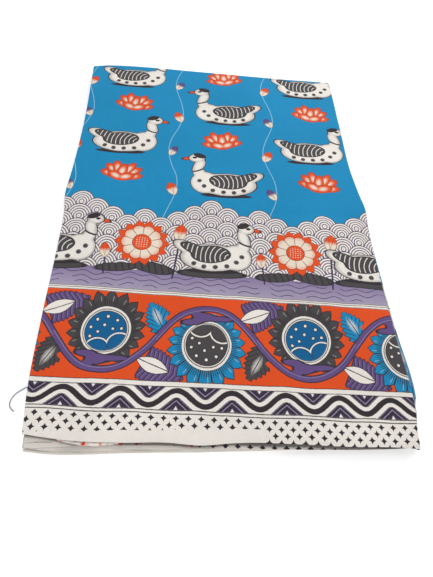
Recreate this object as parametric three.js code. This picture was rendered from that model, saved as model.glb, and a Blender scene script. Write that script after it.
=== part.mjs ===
// A printed cotton sari, folded into a flat packet that lies on a table.
// Millimetres, +Z up. +Y runs from the selvedges at the front to the widthwise fold at the back.

import * as THREE from 'three';
import { mergeVertices } from 'three/addons/utils/BufferGeometryUtils.js';

// Cloth
const WALL = 1.2;                  // one leaf, with the air that its weave and creases hold
const CLEARANCE = 0.3;             // between pieces that lie on each other

// Packet: sixteen leaves above and sixteen below the middle plane
const HALF_HEIGHT = 8;
const MIDDLE_Z = HALF_HEIGHT + CLEARANCE / 2;
const LEFT_BEND = 2;               // outer radius of the small bends along the left side
const RIGHT_BEND = 3.6;            // outer radius of the large bends along the right side
const LEFT_BEND_END = -60;         // degrees, where the outer leaf goes in at the left
const RIGHT_BEND_END = -74;        // degrees, where it goes in at the right

// The top leaf rolls down over its front edge: how far at the left and right, between which
// places it grows, and over how much of the leaf
const FRONT_ROLL = { left: 0.7, right: 2.0, start: -120, end: 120, reach: 5 };

// Outline across the packet: how far each front edge and the back fold reach at each x
const ENDS = [
  { x: -200, top: -283.4, middle: -296.5, under: -296.9, back: 298.0 },
  { x: -176, top: -287.4, middle: -294.9, under: -300.0, back: 301.8 },
  { x: -150, top: -290.8, middle: -294.2, under: -301.0, back: 302.3 },
  { x: -110, top: -292.8, middle: -293.9, under: -300.1, back: 300.6 },
  { x: -60, top: -293.5, middle: -295.0, under: -300.0, back: 296.6 },
  { x: -28, top: -296.4, middle: -297.0, under: -300.0, back: 293.9 },
  { x: 10, top: -294.4, middle: -298.6, under: -299.7, back: 290.8 },
  { x: 70, top: -296.4, middle: -300.5, under: -299.2, back: 286.0 },
  { x: 120, top: -299.4, middle: -301.0, under: -298.8, back: 282.2 },
  { x: 165, top: -300.4, middle: -300.9, under: -298.5, back: 280.2 },
  { x: 190, top: -302.6, middle: -300.0, under: -298.4, back: 277.8 },
];

// Outline along the packet: the two sides of the top half and of the bottom half at each y
const SIDES = [
  { y: -302, topLeft: -198.0, topRight: 189.9, underLeft: -198.5, underRight: 193.5 },
  { y: -280, topLeft: -199.2, topRight: 191.3, underLeft: -199.2, underRight: 197.0 },
  { y: -262, topLeft: -200.8, topRight: 194.0, underLeft: -199.5, underRight: 200.5 },
  { y: -245, topLeft: -201.7, topRight: 195.6, underLeft: -200.0, underRight: 203.9 },
  { y: -168, topLeft: -201.6, topRight: 193.3, underLeft: -200.4, underRight: 200.4 },
  { y: -86, topLeft: -200.0, topRight: 192.3, underLeft: -201.0, underRight: 198.2 },
  { y: -23, topLeft: -199.9, topRight: 193.3, underLeft: -201.5, underRight: 197.0 },
  { y: 14, topLeft: -203.3, topRight: 195.7, underLeft: -201.6, underRight: 196.4 },
  { y: 47, topLeft: -200.9, topRight: 191.4, underLeft: -200.8, underRight: 194.0 },
  { y: 86, topLeft: -198.8, topRight: 187.9, underLeft: -199.5, underRight: 191.0 },
  { y: 174, topLeft: -196.8, topRight: 187.9, underLeft: -197.6, underRight: 188.4 },
  { y: 302, topLeft: -199.0, topRight: 187.9, underLeft: -199.0, underRight: 187.9 },
];

// Soft swells and hollows of the top, each a low mound: centre, height and reach
const SWELLS = [
  { x: -120, y: 250, rise: 1.3, reachX: 160, reachY: 42 },
  { x: 110, y: 236, rise: 1.1, reachX: 150, reachY: 40 },
  { x: 30, y: 150, rise: -0.5, reachX: 150, reachY: 50 },
  { x: 60, y: 47, rise: 0.9, reachX: 170, reachY: 26 },
  { x: -130, y: 20, rise: 0.8, reachX: 60, reachY: 36 },
  { x: -40, y: -90, rise: -0.5, reachX: 120, reachY: 46 },
  { x: 130, y: -150, rise: 0.7, reachX: 50, reachY: 60 },
  { x: -120, y: -210, rise: 0.6, reachX: 70, reachY: 40 },
];

// Edges of the hidden layers: height above the middle plane, and how far each edge stands back
const UPPER_LAYERS = [
  { level: 0.70, left: 1.4, front: 6.6 },
  { level: 1.50, left: 0.5, front: 5.0 },
  { level: 2.40, left: 0.1, front: 4.8 },
  { level: 2.60, left: 0.2, front: 7.0 },
  { level: 3.30, left: 0.6, front: 7.2 },
  { level: 3.90, left: 2.4, front: 5.4 },
  { level: 5.00, left: 2.4, front: 5.2 },
  { level: 5.20, left: 2.4, front: 6.6 },
  { level: 6.40, left: 2.4, front: 7.0 },
];
const LOWER_LAYERS = [
  { level: 0.70, left: 1.6, front: 4.2 },
  { level: 1.60, left: 0.6, front: 2.4 },
  { level: 2.40, left: 0.2, front: 2.2 },
  { level: 2.60, left: 0.4, front: 4.6 },
  { level: 3.40, left: 0.8, front: 4.2 },
  { level: 3.90, left: 2.4, front: 1.4 },
  { level: 5.00, left: 2.4, front: 1.0 },
  { level: 5.20, left: 2.4, front: 3.4 },
  { level: 6.40, left: 2.4, front: 3.8 },
];

// Leaf at the middle plane: how far its sides stand in, and how thick it is
const MIDDLE_LEFT_INSET = 1.2;
const MIDDLE_RIGHT_INSET = RIGHT_BEND + 1;
const MIDDLE_BACK_INSET = 1;
const MIDDLE_THICKNESS = 0.96;

// Crumpled corner of an inner leaf, which lies in front of the upper layers: its two ends,
// how deep it is at its ends and middle, and its tent with small waves in it
const TUCK = {
  start: -166,
  end: -104,
  endDepth: 1.47,
  middleDepth: 4.2,
  overlap: 1.6,
  wall: 1.0,
  peak: 2.6,
  tentStart: 0.15,
  tentEnd: 0.85,
  crumple: 0.35,
  wavesAlong: 9,
  wavesAcross: 2.1,
};

// Loose thread on the table at the left
const THREAD_DIAMETER = 1.4;
const THREAD_STEPS = 22;
const THREAD_SIDES = 8;
const THREAD_ROUTE = [
  [-200.6, -233.0, 2.2],
  [-206.7, -234.1, 1.5],
  [-213.2, -237.6, 0.85],
  [-218.0, -241.8, 0.85],
  [-220.9, -248.2, 0.85],
  [-220.5, -253.1, 0.85],
  [-218.0, -256.6, 0.85],
  [-215.3, -258.7, 0.85],
];

// How finely each form is divided
const LEFT_BEND_STEPS = 4;
const FLAT_STEPS = 14;
const RIGHT_BEND_STEPS = 6;
const TOP_EDGE_SHARES = [0, 0.004, 0.009];
const UNDER_EDGE_SHARES = [0];
const TOP_STEPS = 22;
const UNDER_STEPS = 12;
const BACK_FOLD_STEPS = 5;
const LAYER_FOLD_REACHES = [0.55, 1];
const MIDDLE_COLUMNS = 20;
const MIDDLE_ROWS = 6;
const TUCK_COLUMNS = 14;
const TUCK_ROWS = 4;
const MERGE_DISTANCE = 1e-4;

// Colours and finishes
const PRINTED_BLUE = 0x2189be;
const UNPRINTED_COTTON = 0xe2ded8;
const ORANGE_STAINED = 0xd9a48c;
const THREAD_GREY = 0xb9bdc4;
const COTTON_ROUGHNESS = 0.85;

const radians = THREE.MathUtils.degToRad;
const lerp = THREE.MathUtils.lerp;

// A curve through one column of a table
function column(table, key, name, Interpolant = THREE.CubicInterpolant) {
  const keys = table.map((row) => row[key]);
  const values = table.map((row) => row[name]);
  const curve = new Interpolant(keys, values, 1);
  return (at) => curve.evaluate(at)[0];
}

const backReach = column(ENDS, 'x', 'back');
const halves = {
  top: {
    side: 1,
    front: column(ENDS, 'x', 'top'),
    left: column(SIDES, 'y', 'topLeft'),
    right: column(SIDES, 'y', 'topRight'),
  },
  under: {
    side: -1,
    front: column(ENDS, 'x', 'under'),
    left: column(SIDES, 'y', 'underLeft'),
    right: column(SIDES, 'y', 'underRight'),
  },
};
const middleFront = column(ENDS, 'x', 'middle');

// Where the flat run ends and the back fold begins to turn
function foldLine(x) {
  return backReach(x) - HALF_HEIGHT;
}

function topRelief(x, y) {
  let rise = 0;
  for (const swell of SWELLS) {
    const across = (x - swell.x) / swell.reachX;
    const along = (y - swell.y) / swell.reachY;
    rise += swell.rise * Math.exp(-across * across - along * along);
  }
  return rise;
}

// The top leaf rolls down at its front edge, more towards the right
function frontRoll(x, fromEdge) {
  const growth = THREE.MathUtils.smoothstep(x, FRONT_ROLL.start, FRONT_ROLL.end);
  const depth = lerp(FRONT_ROLL.left, FRONT_ROLL.right, growth);
  const near = Math.max(0, 1 - fromEdge / FRONT_ROLL.reach);
  return depth * near * near;
}

// A point of the packet: height is measured out from the middle plane, and turn is the angle
// around the back fold, 0 on the flat run and 90 degrees at the level of the middle plane
function packetPoint(half, x, y, height, turn) {
  const relief = half.side > 0 ? topRelief(x, y) : 0;
  const out = height * (1 + relief / HALF_HEIGHT);
  return new THREE.Vector3(
    x,
    y + out * Math.sin(turn),
    MIDDLE_Z + half.side * (CLEARANCE / 2 + out * Math.cos(turn)),
  );
}

// Triangles of a grid of points, columns by rows
function patch(columns, rows, pointAt, turned = false) {
  const positions = [];
  for (let row = 0; row < rows; row += 1) {
    for (let place = 0; place < columns; place += 1) {
      const a = pointAt(place, row);
      const b = pointAt(place + 1, row);
      const c = pointAt(place + 1, row + 1);
      const d = pointAt(place, row + 1);
      const corners = turned ? [a, c, b, a, d, c] : [a, b, c, a, c, d];
      for (const corner of corners) positions.push(corner.x, corner.y, corner.z);
    }
  }
  return positions;
}

// One closed body from patches that share their borders, with its faces turned out
function closedBody(patches) {
  let positions = patches.flat();
  let volume = 0;
  const a = new THREE.Vector3();
  const b = new THREE.Vector3();
  const c = new THREE.Vector3();
  for (let i = 0; i < positions.length; i += 9) {
    a.fromArray(positions, i);
    b.fromArray(positions, i + 3);
    c.fromArray(positions, i + 6);
    volume += a.dot(b.cross(c));
  }
  if (volume < 0) {
    const turned = [];
    for (let i = 0; i < positions.length; i += 9) {
      turned.push(...positions.slice(i, i + 3), ...positions.slice(i + 6, i + 9));
      turned.push(...positions.slice(i + 3, i + 6));
    }
    positions = turned;
  }
  const soup = new THREE.BufferGeometry();
  soup.setAttribute('position', new THREE.Float32BufferAttribute(positions, 3));
  const geometry = mergeVertices(soup, MERGE_DISTANCE);
  geometry.computeVertexNormals();
  return geometry;
}

// A wall of cloth between an outer and an inner grid of points
function clothWall(columns, rows, outerAt, innerAt) {
  const between = (place, row, level) => (level ? outerAt(place, row) : innerAt(place, row));
  return closedBody([
    patch(columns, rows, outerAt),
    patch(columns, rows, innerAt, true),
    patch(columns, 1, (place, level) => between(place, 0, level)),
    patch(columns, 1, (place, level) => between(place, rows, level), true),
    patch(rows, 1, (row, level) => between(0, row, level), true),
    patch(rows, 1, (row, level) => between(columns, row, level)),
  ]);
}

// Stations across an outer leaf: the left bend, the flat, and the right bend
function acrossStations(leftSteps, flatSteps, rightSteps) {
  const stations = [];
  for (let i = 0; i < leftSteps; i += 1) {
    stations.push({ bend: 'left', angle: radians(lerp(LEFT_BEND_END, 90, i / leftSteps)) });
  }
  for (let i = 0; i <= flatSteps; i += 1) {
    stations.push({ bend: 'none', share: i / flatSteps });
  }
  for (let i = 1; i <= rightSteps; i += 1) {
    stations.push({ bend: 'right', angle: radians(lerp(90, RIGHT_BEND_END, i / rightSteps)) });
  }
  return stations;
}

// Stations along an outer leaf: the front edge, the flat run, and a quarter turn at the back
function alongStations(edgeShares, flatSteps, turnSteps = 0) {
  const stations = edgeShares.map((share) => ({ share, turn: 0 }));
  for (let i = 1; i <= flatSteps; i += 1) {
    stations.push({ share: i / flatSteps, turn: 0 });
  }
  for (let i = 1; i <= turnSteps; i += 1) {
    stations.push({ share: 1, turn: radians(90) * i / turnSteps });
  }
  return stations;
}

// An outer leaf: it covers one half of the packet and goes round its left, right and back
function outerLeaf(half, across, along) {
  const pointAt = (depth) => (place, row) => {
    const stop = across[place];
    const run = along[row];
    const sideY = lerp(half.front(0), foldLine(0), run.share);
    const left = half.left(sideY) + LEFT_BEND;
    const right = half.right(sideY) - RIGHT_BEND;
    let x = left;
    let height = HALF_HEIGHT - depth;
    if (stop.bend === 'none') {
      x = lerp(left, right, stop.share);
    } else if (stop.bend === 'left') {
      x = left - (LEFT_BEND - depth) * Math.cos(stop.angle);
      height = HALF_HEIGHT - LEFT_BEND + (LEFT_BEND - depth) * Math.sin(stop.angle);
    } else {
      x = right + (RIGHT_BEND - depth) * Math.cos(stop.angle);
      height = HALF_HEIGHT - RIGHT_BEND + (RIGHT_BEND - depth) * Math.sin(stop.angle);
    }
    const y = lerp(half.front(x), foldLine(x), run.share);
    if (half.side > 0) height *= 1 - frontRoll(x, y - half.front(x)) / HALF_HEIGHT;
    return packetPoint(half, x, y, height, run.turn);
  };
  return clothWall(across.length - 1, along.length - 1, pointAt(0), pointAt(WALL));
}

// The hidden layers of one half, as one solid whose edges step in and out. It lies inside the
// outer leaf's bends, and past the fold line it clears them at its distance from the fold too
function hiddenLayers(half, layers, columns, flatSteps) {
  const boreRadius = RIGHT_BEND - WALL - CLEARANCE;
  const foldRadius = HALF_HEIGHT - WALL - CLEARANCE;
  const leftInset = column(layers, 'level', 'left', THREE.LinearInterpolant);
  const bulge = (level) => {
    const fromBend = level - (HALF_HEIGHT - RIGHT_BEND);
    return Math.sqrt(Math.max(0, boreRadius ** 2 - fromBend ** 2));
  };
  const along = alongStations([0], flatSteps).map((run) => ({ ...run, reach: 0 }));
  for (const reach of LAYER_FOLD_REACHES) along.push({ share: 1, reach });
  const rows = along.length - 1;
  const pointAt = (place, row, layer) => {
    const run = along[row];
    const pastFold = run.reach * Math.sqrt(foldRadius ** 2 - layer.level ** 2);
    const distance = Math.hypot(layer.level, pastFold);
    const sideY = lerp(half.front(0), foldLine(0), run.share);
    const left = half.left(sideY) + Math.max(leftInset(layer.level), leftInset(distance));
    const right = half.right(sideY) - RIGHT_BEND + Math.min(bulge(layer.level), bulge(distance));
    const x = lerp(left, right, place / columns);
    const y = lerp(half.front(x), foldLine(x), run.share) + pastFold;
    return packetPoint(half, x, row === 0 ? y + layer.front : y, layer.level, 0);
  };
  const lowest = layers[0];
  const highest = layers[layers.length - 1];
  const steps = layers.length - 1;
  return closedBody([
    patch(columns, rows, (place, row) => pointAt(place, row, highest)),
    patch(columns, rows, (place, row) => pointAt(place, row, lowest), true),
    patch(columns, steps, (place, step) => pointAt(place, 0, layers[step])),
    patch(columns, steps, (place, step) => pointAt(place, rows, layers[step]), true),
    patch(rows, steps, (row, step) => pointAt(0, row, layers[step]), true),
    patch(rows, steps, (row, step) => pointAt(columns, row, layers[step])),
  ]);
}

// The leaf at the middle plane, whose selvedge shows under the top leaf
function middleLeaf(columns, rows) {
  const pointAt = (level) => (place, row) => {
    const sideY = lerp(middleFront(0), foldLine(0), row / rows);
    const left = Math.max(halves.top.left(sideY), halves.under.left(sideY));
    const right = Math.min(halves.top.right(sideY), halves.under.right(sideY));
    const x = lerp(left + MIDDLE_LEFT_INSET, right - MIDDLE_RIGHT_INSET, place / columns);
    const y = lerp(middleFront(x), foldLine(x) - MIDDLE_BACK_INSET, row / rows);
    return new THREE.Vector3(x, y, MIDDLE_Z + level * MIDDLE_THICKNESS / 2);
  };
  return clothWall(columns, rows, pointAt(1), pointAt(-1));
}

// A crumpled corner that stands on the middle leaf as a low uneven tent
function frontTuck(columns, rows) {
  const base = MIDDLE_Z + WALL / 2 + CLEARANCE;
  const pointAt = (lift) => (place, row) => {
    const share = place / columns;
    const across = row / rows;
    const x = lerp(TUCK.start, TUCK.end, share);
    const arch = Math.sin(Math.PI * share);
    const tent = arch * Math.sin(Math.PI * lerp(TUCK.tentStart, TUCK.tentEnd, across));
    const waves = Math.sin(TUCK.wavesAlong * share + TUCK.wavesAcross * across);
    const crumple = TUCK.crumple * waves * arch;
    const back = halves.top.front(x) + TUCK.overlap;
    const front = back - lerp(TUCK.endDepth, TUCK.middleDepth, arch);
    const z = base + TUCK.peak * Math.max(0, tent + crumple) + lift;
    return new THREE.Vector3(x, lerp(front, back, across), z);
  };
  return clothWall(columns, rows, pointAt(TUCK.wall), pointAt(0));
}

function looseThread() {
  const section = new THREE.Shape(new THREE.Path()
    .absarc(0, 0, THREAD_DIAMETER / 2, 0, Math.PI * 2)
    .getPoints(THREAD_SIDES / 2)
    .slice(0, -1));
  const route = new THREE.CatmullRomCurve3(THREAD_ROUTE.map((point) => new THREE.Vector3(...point)));
  return new THREE.ExtrudeGeometry(section, { steps: THREAD_STEPS, extrudePath: route });
}

function cloth(name, geometry, color) {
  const material = new THREE.MeshStandardMaterial({ color, roughness: COTTON_ROUGHNESS });
  const mesh = new THREE.Mesh(geometry, material);
  mesh.name = name;
  return mesh;
}

const across = acrossStations(LEFT_BEND_STEPS, FLAT_STEPS, RIGHT_BEND_STEPS);
const topAlong = alongStations(TOP_EDGE_SHARES, TOP_STEPS, BACK_FOLD_STEPS);
const underAlong = alongStations(UNDER_EDGE_SHARES, UNDER_STEPS, BACK_FOLD_STEPS);
const upperLayers = hiddenLayers(halves.top, UPPER_LAYERS, FLAT_STEPS, TOP_STEPS);
const lowerLayers = hiddenLayers(halves.under, LOWER_LAYERS, FLAT_STEPS, UNDER_STEPS);

const sari = new THREE.Group();
sari.add(
  cloth('top_leaf', outerLeaf(halves.top, across, topAlong), PRINTED_BLUE),
  cloth('upper_layers', upperLayers, UNPRINTED_COTTON),
  cloth('middle_leaf', middleLeaf(MIDDLE_COLUMNS, MIDDLE_ROWS), UNPRINTED_COTTON),
  cloth('lower_layers', lowerLayers, UNPRINTED_COTTON),
  cloth('under_leaf', outerLeaf(halves.under, across, underAlong), PRINTED_BLUE),
  cloth('front_tuck', frontTuck(TUCK_COLUMNS, TUCK_ROWS), ORANGE_STAINED),
  cloth('loose_thread', looseThread(), THREAD_GREY),
);

export default sari;
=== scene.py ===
# A printed cotton sari, folded into a flat packet that lies on a pale table.
# The tables are in millimetres, as the sari was measured, and each mesh is made in metres.
import bisect
import math

import bmesh
import bpy
from mathutils import Matrix, Vector, noise


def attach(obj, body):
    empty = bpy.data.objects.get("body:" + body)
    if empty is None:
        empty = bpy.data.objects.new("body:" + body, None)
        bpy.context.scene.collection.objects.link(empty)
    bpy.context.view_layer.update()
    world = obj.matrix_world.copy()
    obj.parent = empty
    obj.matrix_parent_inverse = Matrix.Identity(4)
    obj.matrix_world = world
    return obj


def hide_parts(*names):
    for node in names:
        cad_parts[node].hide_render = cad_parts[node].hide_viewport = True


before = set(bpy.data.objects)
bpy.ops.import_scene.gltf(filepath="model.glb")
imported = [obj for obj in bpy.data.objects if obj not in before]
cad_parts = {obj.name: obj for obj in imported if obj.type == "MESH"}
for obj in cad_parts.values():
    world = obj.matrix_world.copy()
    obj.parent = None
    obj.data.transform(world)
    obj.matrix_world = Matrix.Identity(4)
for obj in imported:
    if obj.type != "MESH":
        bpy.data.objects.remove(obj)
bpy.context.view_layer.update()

MM = 0.001

# Camera: where it stands and how it is turned, for an image of 433 by 577
IMAGE_SIZE = (433, 577)
FOCAL_PIXELS = 433
SENSOR = 36
CAMERA_PLACE = (-40.35, -376.15, 450.7)
CAMERA_FORWARD = (0.0630, 0.5039, -0.8614)
CAMERA_UP = (-0.0099, 0.8634, 0.5044)

# Packet
CLEARANCE = 0.3
HALF_HEIGHT = 8
MIDDLE_Z = HALF_HEIGHT + CLEARANCE / 2
LEFT_BEND = 2
RIGHT_BEND = 3.6
LEFT_BEND_END = -60
RIGHT_BEND_END = -74
FRONT_ROLL_REACH = 5
FRONT_ROLL_LEFT = 0.7              # how deep the top leaf rolls down at the left and at the right
FRONT_ROLL_RIGHT = 2.0

# Cloth
OUTER_THICKNESS = 0.42
INNER_THICKNESS = 0.3
LEAF_PITCH = 0.45                  # from one inner leaf to the next
LEAF_COUNT = 16                    # in each half, the outer leaf included
HIDDEN_SAG = 0.16                  # how much lower the inner leaves lie where nothing shows them
HIDDEN_FRONT = (5, 30)             # where that begins and is whole, in from each edge
HIDDEN_LEFT = (4, 22)
HIDDEN_RIGHT = (0, 18)

# Outline across the packet: x, front edge of the top leaf, of the middle leaf and of the
# under leaf, and the back fold
ENDS = [
    (-200, -283.4, -296.5, -296.9, 298.0),
    (-176, -287.4, -294.9, -300.0, 301.8),
    (-150, -290.8, -294.2, -301.0, 302.3),
    (-110, -292.8, -293.9, -300.1, 300.6),
    (-60, -293.5, -295.0, -300.0, 296.6),
    (-28, -296.4, -297.0, -300.0, 293.9),
    (10, -294.4, -298.6, -299.7, 290.8),
    (70, -296.4, -300.5, -299.2, 286.0),
    (120, -299.4, -301.0, -298.8, 282.2),
    (165, -300.4, -300.9, -298.5, 280.2),
    (190, -302.6, -300.0, -298.4, 277.8),
]
TOP_FRONT, MIDDLE_FRONT, UNDER_FRONT, BACK = 1, 2, 3, 4

# Outline along the packet: y, left and right of the top half, left and right of the under half
SIDES = [
    (-302, -198.0, 189.9, -198.5, 193.5),
    (-280, -199.2, 191.3, -199.2, 197.0),
    (-262, -200.8, 194.0, -199.5, 200.5),
    (-245, -201.7, 195.6, -200.0, 203.9),
    (-168, -201.6, 193.3, -200.4, 200.4),
    (-86, -200.0, 192.3, -201.0, 198.2),
    (-23, -199.9, 193.3, -201.5, 197.0),
    (14, -203.3, 195.7, -201.6, 196.4),
    (47, -200.9, 191.4, -200.8, 194.0),
    (86, -198.8, 187.9, -199.5, 191.0),
    (174, -196.8, 187.9, -197.6, 188.4),
    (302, -199.0, 187.9, -199.0, 187.9),
]
TOP_LEFT, TOP_RIGHT, UNDER_LEFT, UNDER_RIGHT = 1, 2, 3, 4

# Soft swells and hollows of the top: x, y, rise, reach across, reach along
SWELLS = [
    (-120, 250, 1.3, 160, 42),
    (110, 236, 1.1, 150, 40),
    (30, 150, -0.5, 150, 50),
    (60, 47, 0.9, 170, 26),
    (-130, 20, 0.8, 60, 36),
    (-40, -90, -0.5, 120, 46),
    (130, -150, 0.7, 50, 60),
    (-120, -210, 0.6, 70, 40),
]

# Small ripples of the top: height, length across and along, seed
RIPPLES = [(0.16, 60, 60, 3.1), (0.07, 19, 23, 8.4)]

# Creases of the top leaf, each a soft trough (or a ridge, below nought) along a short line:
# from x, y to x, y, then depth and reach
TOP_CREASES = [
    (2, -292, 0, -120, 0.26, 2.6),
    (0, -120, 2, 40, 0.40, 2.8),
    (2, 40, 0, 286, 0.55, 4.2),
    (-6, -292, -8, 286, -0.30, 4.6),
    (-198, -14, -70, -10, 0.35, 8),
    (-70, -10, 40, -12, 0.80, 8),
    (30, -12, 100, -9, 0.70, 9),
    (100, -9, 192, -13, 1.50, 10),
    (-190, 42, -128, 96, 1.10, 16),
    (-176, 150, -120, 232, 0.80, 17),
    (-150, 132, -40, 168, 0.45, 11),
    (20, 84, 130, 120, 0.45, 12),
    (80, 214, 182, 190, 0.50, 11),
    (120, 40, 188, 54, -0.35, 12),
    (-60, 120, -8, 146, 0.24, 9),
    (40, 190, 110, 176, 0.22, 11),
    (-110, -196, -46, -168, 0.20, 12),
    (60, -232, 142, -252, 0.30, 10),
    (110, -276, 186, -288, 0.35, 7),
    (-60, -276, 20, -282, 0.22, 6),
    (-196, -238, -150, -262, 0.35, 9),
    (150, 130, 186, 96, 0.30, 10),
    (-30, 250, 40, 262, 0.26, 12),
    (70, -70, 120, -110, 0.18, 10),
    (-160, -96, -120, -60, 0.22, 10),
]
UNDER_CREASES = [
    (3, -292, 1, 286, 0.18, 2.4),
    (-196, 8, 60, 12, 0.20, 7),
    (60, 12, 190, 6, 0.25, 8),
    (-160, -150, -90, -190, 0.16, 9),
    (90, 150, 150, 196, 0.18, 10),
]

CREASE_SWAY = 1.6                  # how far a crease strays from its line, and how often
CREASE_LENGTH = 17
CREASE_END = 0.7                   # a crease fades more slowly past its ends than beside them
CREASE_CUTOFF = 2.6                # in reaches, past which a crease is left out
CREASE_PATCH = 24                  # the length of its uneven stretches

# How the inner leaves run: from leaf to leaf, by the right bend and the left bend in turn.
# Leaf 1 lies at the middle plane, and leaf 16 is the outer leaf
FOLD_ORDER = [9, 8, 5, 12, 13, 4, 3, 14, 11, 6, 7, 10, 15, 2]

# How far the inner leaves' front edges stand back from the outer leaf's: level, upper, lower
FRONT_STEPS = [
    (0.70, 6.6, 4.2),
    (1.50, 5.0, 2.4),
    (2.40, 4.8, 2.2),
    (2.60, 7.0, 4.6),
    (3.35, 7.2, 4.2),
    (3.90, 5.4, 1.4),
    (5.00, 5.2, 1.0),
    (5.20, 6.6, 3.4),
    (6.40, 7.0, 3.8),
    (8.00, 7.0, 3.8),
]
UPPER_STEP, LOWER_STEP = 1, 2

# The left bends join leaves in pairs: from which leaf on, and what the pair's numbers add up to
LEFT_PAIRS = [(9, 25), (5, 13), (3, 7)]
SMALL_BEND_INSET = 0.35
LEAST_WAVE = -0.2                  # how far a left bend may wander out of the packet

# How the edges wander: the outer leaves' and the bends', the middle leaf's, and the inner
# leaves', each row a reach, a length and seeds for the leaf and the half
FRONT_WANDER = 0.25
MIDDLE_WANDER = 0.3
INNER_WANDER = [(0.5, 40, 2.3, 4.0), (0.25, 11, 5.1, 9.0)]
MIDDLE_INSET = 1.2

# Crumpled corner of an inner leaf in front of the upper layers
TUCK_START = -166
TUCK_END = -104
TUCK_DEPTH = 4.2
TUCK_END_SHARE = 0.35              # how much of that depth is left at its ends
TUCK_OVERLAP = 1.6
TUCK_LIFT = 1.55
TUCK_PEAK = 2.6
TUCK_TENT = (0.15, 0.85)           # the part of a half turn that its tent takes up
TUCK_CRUMPLE = 0.30
TUCK_WAVES = (9, 2.1)              # the crumple's waves along and across
TUCK_RUFFLE = 0.22
TUCK_EDGE_RUFFLE = 0.5

# How finely the leaves are divided. Across: the left bend, the flat and the right bend, or
# the flat and each bend. Along: steps back from the front edge, the flat and the back fold
TOP_ACROSS = (12, 134, 16)
TOP_ALONG = ([0, 0.4, 1.0, 1.8, 3.0, 5.0], 196, 10)
UNDER_ACROSS = (10, 96, 14)
UNDER_ALONG = ([0, 1.5], 140, 10)
INNER_ACROSS = (40, 7)
INNER_ALONG = ([0, 0.5, 1.6, 4, 10], 16, 6)
MIDDLE_COLUMNS = 150
MIDDLE_ALONG = ([0, 0.3, 0.8, 1.6, 3, 5, 9, 16], 20, 0)
TUCK_COLUMNS = 96
TUCK_ROWS = 16

# Loose thread on the table at the left
THREAD_DIAMETER = 1.4
THREAD_ROUTE = [
    (-200.6, -233.0, 2.2),
    (-206.7, -234.1, 1.5),
    (-213.2, -237.6, 0.85),
    (-218.0, -241.8, 0.85),
    (-220.9, -248.2, 0.85),
    (-220.5, -253.1, 0.85),
    (-218.0, -256.6, 0.85),
    (-215.3, -258.7, 0.85),
]

# The print lies a little turned on the cloth: from packet to print
PRINT_TURN = math.radians(-2.9)
PRINT_ORIGIN = (-5.75, -292.85)
CLOTH_WIDTH = 1180                 # from one selvedge to the other, round the back fold
BORDER_END = 170                   # the faces past this line take the pond's print
POND_END = 300                     # and past this line the field's
FAR_BORDER_START = 1128            # the narrow border along the other selvedge
PRINT_STARTS = [BORDER_END, POND_END, FAR_BORDER_START]
MIDDLE_PRINT_SHIFT = 22.6          # how much further up its print the middle leaf begins


def srgb(red, green, blue):
    """A colour as it looks on screen, 0 to 255, as Blender mixes it."""
    def linear(channel):
        share = channel / 255
        return share / 12.92 if share <= 0.04045 else ((share + 0.055) / 1.055) ** 2.4
    return (linear(red), linear(green), linear(blue), 1.0)


BLUE = srgb(28, 142, 193)
DEEP_BLUE = srgb(22, 100, 152)
PALE_BLUE = srgb(150, 200, 226)
ORANGE = srgb(232, 84, 36)
RUST = srgb(150, 60, 40)
CREAM = srgb(240, 226, 206)
COTTON = srgb(243, 237, 229)
VIOLET = srgb(104, 82, 134)
PALE_VIOLET = srgb(170, 160, 186)
MIDDLE_VIOLET = srgb(130, 112, 156)
DARK_VIOLET = srgb(72, 62, 92)
GREY = srgb(78, 75, 77)
INK = srgb(56, 51, 55)
SCALE_VIOLET = srgb(104, 92, 120)
THREAD_GREY = srgb(134, 142, 152)
PALE_GREY = srgb(196, 202, 208)


def add_object(name, data):
    made = bpy.data.objects.new(name, data)
    bpy.context.collection.objects.link(made)
    return made


def make_camera():
    forward = Vector(CAMERA_FORWARD).normalized()
    right = forward.cross(Vector(CAMERA_UP)).normalized()
    up = right.cross(forward)
    lens = bpy.data.cameras.new("camera")
    lens.sensor_width = SENSOR
    lens.lens = SENSOR * FOCAL_PIXELS / max(IMAGE_SIZE)
    lens.clip_start = 0.01
    camera = add_object("camera", lens)
    turn = Matrix((right, up, -forward)).transposed().to_4x4()
    camera.matrix_world = Matrix.Translation(Vector(CAMERA_PLACE) * MM) @ turn
    bpy.context.scene.camera = camera


def lerp(start, end, share):
    return start + (end - start) * share


def smoothstep(value, low, high):
    share = min(1, max(0, (value - low) / (high - low)))
    return share * share * (3 - 2 * share)


def curve_through(table, column):
    """A smooth curve through one column of a table, level past its ends."""
    keys = [row[0] for row in table]
    values = [row[column] for row in table]
    last = len(keys) - 1

    def at(place):
        if place <= keys[0]:
            return values[0]
        if place >= keys[last]:
            return values[last]
        high = bisect.bisect_right(keys, place)
        low = high - 1
        before = low - 1 if low > 0 else high
        after = high + 1 if high < last else low
        span = keys[high] - keys[low]
        rise = values[high] - values[low]
        fall_in = (values[low] - values[before]) * span / (keys[low] - keys[before])
        fall_out = (values[after] - values[high]) * span / (keys[after] - keys[high])
        first = (rise + fall_in) / 2
        second = (rise + fall_out) / 2
        t = (place - keys[low]) / span
        bend = (first + second - 2 * rise) * t + 3 * rise - 2 * first - second
        return values[low] + t * (first + t * bend)

    return at


def straight_through(table, column):
    """Straight lines through one column of a table."""
    def at(place):
        for (low, *lows), (high, *highs) in zip(table, table[1:]):
            if place <= high:
                share = max(0, (place - low) / (high - low))
                return lerp(lows[column - 1], highs[column - 1], share)
        return table[-1][column]
    return at


class Half:
    """The upper or the lower half of the packet, on its side of the middle plane."""
    def __init__(self, side, front, left, right, front_step, creases):
        self.side = side
        self.front = curve_through(ENDS, front)
        self.left = curve_through(SIDES, left)
        self.right = curve_through(SIDES, right)
        self.front_step = straight_through(FRONT_STEPS, front_step)
        self.creases = creases


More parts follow.
